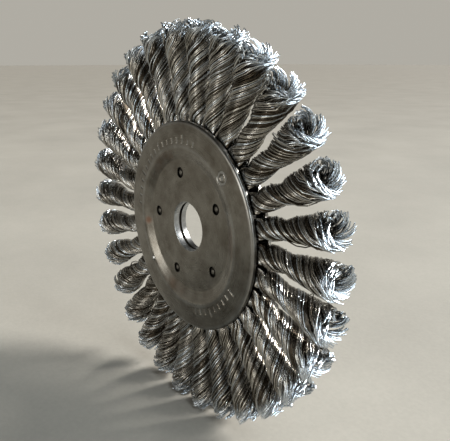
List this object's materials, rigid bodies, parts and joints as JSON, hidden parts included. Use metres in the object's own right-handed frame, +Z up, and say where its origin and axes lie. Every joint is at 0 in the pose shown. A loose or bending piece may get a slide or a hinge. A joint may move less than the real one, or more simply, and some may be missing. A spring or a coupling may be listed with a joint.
{
  "type": "wire wheel brush",
  "caption": "Flat wire wheel brush with twisted wire knots around two riveted dished steel plates and a plain round arbor hole.",
  "frame": {"origin": "centre of the arbor hole, in the wheel's middle plane", "axes": "+Y along the wheel's axis, from the front face to the rear face; +Z up, so that the wheel stands on the two knots at -Z"},
  "size_m": [0.178, 0.016, 0.178],
  "materials": {
    "face_plates": "dark burnished pressed steel",
    "anchor_disc": "bright zinc-plated steel",
    "rivets": "worn steel",
    "knot_wire": "drawn spring-steel wire, grey-brown with bright glints"
  },
  "bodies": {
    "hub": {"front_plate": "face_plates", "anchor_disc": "anchor_disc", "rear_plate": "face_plates", "rivet_1": "rivets", "rivet_2": "rivets", "rivet_3": "rivets", "rivet_4": "rivets", "rivet_5": "rivets"},
    "knot_01": {"knot_01": "knot_wire"},
    "knot_02": {"knot_02": "knot_wire"},
    "knot_03": {"knot_03": "knot_wire"},
    "knot_04": {"knot_04": "knot_wire"},
    "knot_05": {"knot_05": "knot_wire"},
    "knot_06": {"knot_06": "knot_wire"},
    "knot_07": {"knot_07": "knot_wire"},
    "knot_08": {"knot_08": "knot_wire"},
    "knot_09": {"knot_09": "knot_wire"},
    "knot_10": {"knot_10": "knot_wire"},
    "knot_11": {"knot_11": "knot_wire"},
    "knot_12": {"knot_12": "knot_wire"},
    "knot_13": {"knot_13": "knot_wire"},
    "knot_14": {"knot_14": "knot_wire"},
    "knot_15": {"knot_15": "knot_wire"},
    "knot_16": {"knot_16": "knot_wire"},
    "knot_17": {"knot_17": "knot_wire"},
    "knot_18": {"knot_18": "knot_wire"},
    "knot_19": {"knot_19": "knot_wire"},
    "knot_20": {"knot_20": "knot_wire"},
    "knot_21": {"knot_21": "knot_wire"},
    "knot_22": {"knot_22": "knot_wire"},
    "knot_23": {"knot_23": "knot_wire"},
    "knot_24": {"knot_24": "knot_wire"},
    "knot_25": {"knot_25": "knot_wire"},
    "knot_26": {"knot_26": "knot_wire"},
    "knot_27": {"knot_27": "knot_wire"},
    "knot_28": {"knot_28": "knot_wire"},
    "knot_29": {"knot_29": "knot_wire"},
    "knot_30": {"knot_30": "knot_wire"}
  },
  "joints": [
    {"name": "knot_01_flex", "type": "hinge", "parent": "hub", "child": "knot_01", "pos_m": [0.00418, 0, 0.03978], "axis": [0, 1, 0], "range_deg": [-1.5, 1.5], "stiffness_Nm_per_rad": 2},
    {"name": "knot_02_flex", "type": "hinge", "parent": "hub", "child": "knot_02", "pos_m": [0.01236, 0, 0.03804], "axis": [0, 1, 0], "range_deg": [-1.5, 1.5], "stiffness_Nm_per_rad": 2},
    {"name": "knot_03_flex", "type": "hinge", "parent": "hub", "child": "knot_03", "pos_m": [0.02, 0, 0.03464], "axis": [0, 1, 0], "range_deg": [-1.5, 1.5], "stiffness_Nm_per_rad": 2},
    {"name": "knot_04_flex", "type": "hinge", "parent": "hub", "child": "knot_04", "pos_m": [0.02677, 0, 0.02973], "axis": [0, 1, 0], "range_deg": [-1.5, 1.5], "stiffness_Nm_per_rad": 2},
    {"name": "knot_05_flex", "type": "hinge", "parent": "hub", "child": "knot_05", "pos_m": [0.03236, 0, 0.02351], "axis": [0, 1, 0], "range_deg": [-1.5, 1.5], "stiffness_Nm_per_rad": 2},
    {"name": "knot_06_flex", "type": "hinge", "parent": "hub", "child": "knot_06", "pos_m": [0.03654, 0, 0.01627], "axis": [0, 1, 0], "range_deg": [-1.5, 1.5], "stiffness_Nm_per_rad": 2},
    {"name": "knot_07_flex", "type": "hinge", "parent": "hub", "child": "knot_07", "pos_m": [0.03913, 0, 0.00832], "axis": [0, 1, 0], "range_deg": [-1.5, 1.5], "stiffness_Nm_per_rad": 2},
    {"name": "knot_08_flex", "type": "hinge", "parent": "hub", "child": "knot_08", "pos_m": [0.04, 0, 0], "axis": [0, 1, 0], "range_deg": [-1.5, 1.5], "stiffness_Nm_per_rad": 2},
    {"name": "knot_09_flex", "type": "hinge", "parent": "hub", "child": "knot_09", "pos_m": [0.03913, 0, -0.00832], "axis": [0, 1, 0], "range_deg": [-1.5, 1.5], "stiffness_Nm_per_rad": 2},
    {"name": "knot_10_flex", "type": "hinge", "parent": "hub", "child": "knot_10", "pos_m": [0.03654, 0, -0.01627], "axis": [0, 1, 0], "range_deg": [-1.5, 1.5], "stiffness_Nm_per_rad": 2},
    {"name": "knot_11_flex", "type": "hinge", "parent": "hub", "child": "knot_11", "pos_m": [0.03236, 0, -0.02351], "axis": [0, 1, 0], "range_deg": [-1.5, 1.5], "stiffness_Nm_per_rad": 2},
    {"name": "knot_12_flex", "type": "hinge", "parent": "hub", "child": "knot_12", "pos_m": [0.02677, 0, -0.02973], "axis": [0, 1, 0], "range_deg": [-1.5, 1.5], "stiffness_Nm_per_rad": 2},
    {"name": "knot_13_flex", "type": "hinge", "parent": "hub", "child": "knot_13", "pos_m": [0.02, 0, -0.03464], "axis": [0, 1, 0], "range_deg": [-1.5, 1.5], "stiffness_Nm_per_rad": 2},
    {"name": "knot_14_flex", "type": "hinge", "parent": "hub", "child": "knot_14", "pos_m": [0.01236, 0, -0.03804], "axis": [0, 1, 0], "range_deg": [-1.5, 1.5], "stiffness_Nm_per_rad": 2},
    {"name": "knot_15_flex", "type": "hinge", "parent": "hub", "child": "knot_15", "pos_m": [0.00418, 0, -0.03978], "axis": [0, 1, 0], "range_deg": [-1.5, 1.5], "stiffness_Nm_per_rad": 2},
    {"name": "knot_16_flex", "type": "hinge", "parent": "hub", "child": "knot_16", "pos_m": [-0.00418, 0, -0.03978], "axis": [0, 1, 0], "range_deg": [-1.5, 1.5], "stiffness_Nm_per_rad": 2},
    {"name": "knot_17_flex", "type": "hinge", "parent": "hub", "child": "knot_17", "pos_m": [-0.01236, 0, -0.03804], "axis": [0, 1, 0], "range_deg": [-1.5, 1.5], "stiffness_Nm_per_rad": 2},
    {"name": "knot_18_flex", "type": "hinge", "parent": "hub", "child": "knot_18", "pos_m": [-0.02, 0, -0.03464], "axis": [0, 1, 0], "range_deg": [-1.5, 1.5], "stiffness_Nm_per_rad": 2},
    {"name": "knot_19_flex", "type": "hinge", "parent": "hub", "child": "knot_19", "pos_m": [-0.02677, 0, -0.02973], "axis": [0, 1, 0], "range_deg": [-1.5, 1.5], "stiffness_Nm_per_rad": 2},
    {"name": "knot_20_flex", "type": "hinge", "parent": "hub", "child": "knot_20", "pos_m": [-0.03236, 0, -0.02351], "axis": [0, 1, 0], "range_deg": [-1.5, 1.5], "stiffness_Nm_per_rad": 2},
    {"name": "knot_21_flex", "type": "hinge", "parent": "hub", "child": "knot_21", "pos_m": [-0.03654, 0, -0.01627], "axis": [0, 1, 0], "range_deg": [-1.5, 1.5], "stiffness_Nm_per_rad": 2},
    {"name": "knot_22_flex", "type": "hinge", "parent": "hub", "child": "knot_22", "pos_m": [-0.03913, 0, -0.00832], "axis": [0, 1, 0], "range_deg": [-1.5, 1.5], "stiffness_Nm_per_rad": 2},
    {"name": "knot_23_flex", "type": "hinge", "parent": "hub", "child": "knot_23", "pos_m": [-0.04, 0, 0], "axis": [0, 1, 0], "range_deg": [-1.5, 1.5], "stiffness_Nm_per_rad": 2},
    {"name": "knot_24_flex", "type": "hinge", "parent": "hub", "child": "knot_24", "pos_m": [-0.03913, 0, 0.00832], "axis": [0, 1, 0], "range_deg": [-1.5, 1.5], "stiffness_Nm_per_rad": 2},
    {"name": "knot_25_flex", "type": "hinge", "parent": "hub", "child": "knot_25", "pos_m": [-0.03654, 0, 0.01627], "axis": [0, 1, 0], "range_deg": [-1.5, 1.5], "stiffness_Nm_per_rad": 2},
    {"name": "knot_26_flex", "type": "hinge", "parent": "hub", "child": "knot_26", "pos_m": [-0.03236, 0, 0.02351], "axis": [0, 1, 0], "range_deg": [-1.5, 1.5], "stiffness_Nm_per_rad": 2},
    {"name": "knot_27_flex", "type": "hinge", "parent": "hub", "child": "knot_27", "pos_m": [-0.02677, 0, 0.02973], "axis": [0, 1, 0], "range_deg": [-1.5, 1.5], "stiffness_Nm_per_rad": 2},
    {"name": "knot_28_flex", "type": "hinge", "parent": "hub", "child": "knot_28", "pos_m": [-0.02, 0, 0.03464], "axis": [0, 1, 0], "range_deg": [-1.5, 1.5], "stiffness_Nm_per_rad": 2},
    {"name": "knot_29_flex", "type": "hinge", "parent": "hub", "child": "knot_29", "pos_m": [-0.01236, 0, 0.03804], "axis": [0, 1, 0], "range_deg": [-1.5, 1.5], "stiffness_Nm_per_rad": 2},
    {"name": "knot_30_flex", "type": "hinge", "parent": "hub", "child": "knot_30", "pos_m": [-0.00418, 0, 0.03978], "axis": [0, 1, 0], "range_deg": [-1.5, 1.5], "stiffness_Nm_per_rad": 2}
  ]
}
